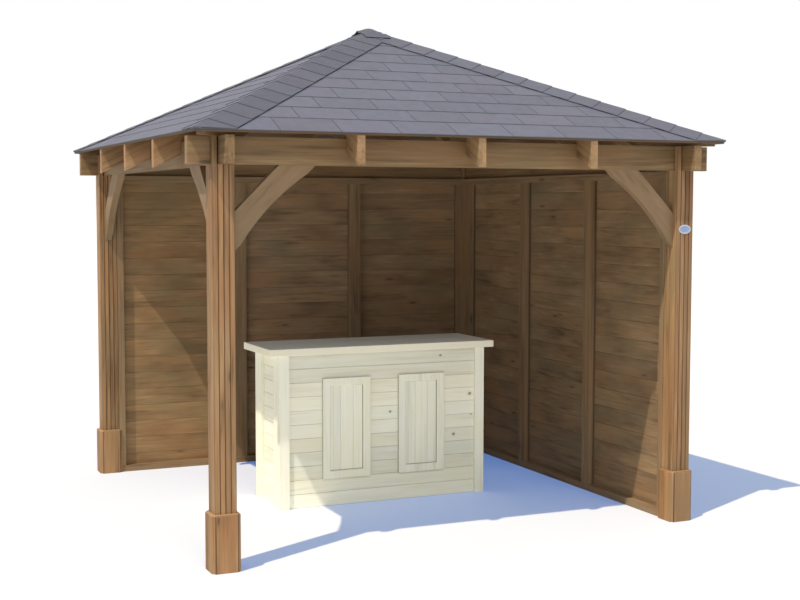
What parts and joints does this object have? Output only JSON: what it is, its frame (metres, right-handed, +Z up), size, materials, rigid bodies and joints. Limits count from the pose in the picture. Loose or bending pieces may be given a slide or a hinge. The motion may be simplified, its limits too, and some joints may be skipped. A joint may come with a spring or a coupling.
{
  "type": "garden bar pavilion",
  "caption": "Square open-sided timber pavilion with a hipped shingle roof, boarded back and right walls, and a boarded bar counter standing inside.",
  "frame": {"origin": "on the ground at the middle of the plan, between the four posts", "axes": "+Z up, -Y the open front that faces the counter's panels, +X the boarded right side"},
  "size_m": [3.266, 3.266, 3.0864],
  "materials": {
    "post": "planed treated timber, satin",
    "post_skirt": "planed treated timber, satin",
    "beam": "planed treated timber, satin",
    "brace": "planed treated timber, satin",
    "rafter": "planed treated timber, satin",
    "roof_boards": "planed boards, matt",
    "wall_frame": "sawn timber, matt",
    "wall_boards": "planed boards, matt",
    "bar_top": "planed timber, matt",
    "bar_trim": "planed pale timber, matt",
    "bar_boards": "planed pale boards, matt",
    "bar_inside": "planed pale timber, matt",
    "shingles": "mineral-faced bitumen, matt",
    "caps": "mineral-faced bitumen, matt"
  },
  "bodies": {
    "root": {"back_wall_boards": "wall_boards", "back_wall_frame": "wall_frame", "bar_boards": "bar_boards", "bar_corner_boards": "bar_trim", "bar_frame": "bar_inside", "bar_panels": "bar_trim", "bar_shelf": "bar_inside", "bar_top": "bar_top", "beam_back": "beam", "beam_front": "beam", "beam_left": "beam", "beam_right": "beam", "brace_front_left": "brace", "brace_front_right": "brace", "brace_left_back": "brace", "brace_left_front": "brace", "hip_caps": "caps", "hip_rafter_back_left": "rafter", "hip_rafter_back_right": "rafter", "hip_rafter_front_left": "rafter", "hip_rafter_front_right": "rafter", "peak_boss": "rafter", "peak_cap": "caps", "post_back_left": "post", "post_back_right": "post", "post_front_left": "post", "post_front_right": "post", "post_skirt_back_left": "post_skirt", "post_skirt_back_right": "post_skirt", "post_skirt_front_left": "post_skirt", "post_skirt_front_right": "post_skirt", "rafters_back": "rafter", "rafters_front": "rafter", "rafters_left": "rafter", "rafters_right": "rafter", "right_wall_boards": "wall_boards", "right_wall_frame": "wall_frame", "roof_boards_back": "roof_boards", "roof_boards_front": "roof_boards", "roof_boards_left": "roof_boards", "roof_boards_right": "roof_boards", "shingles_back": "shingles", "shingles_front": "shingles", "shingles_left": "shingles", "shingles_right": "shingles"}
  },
  "joints": []
}
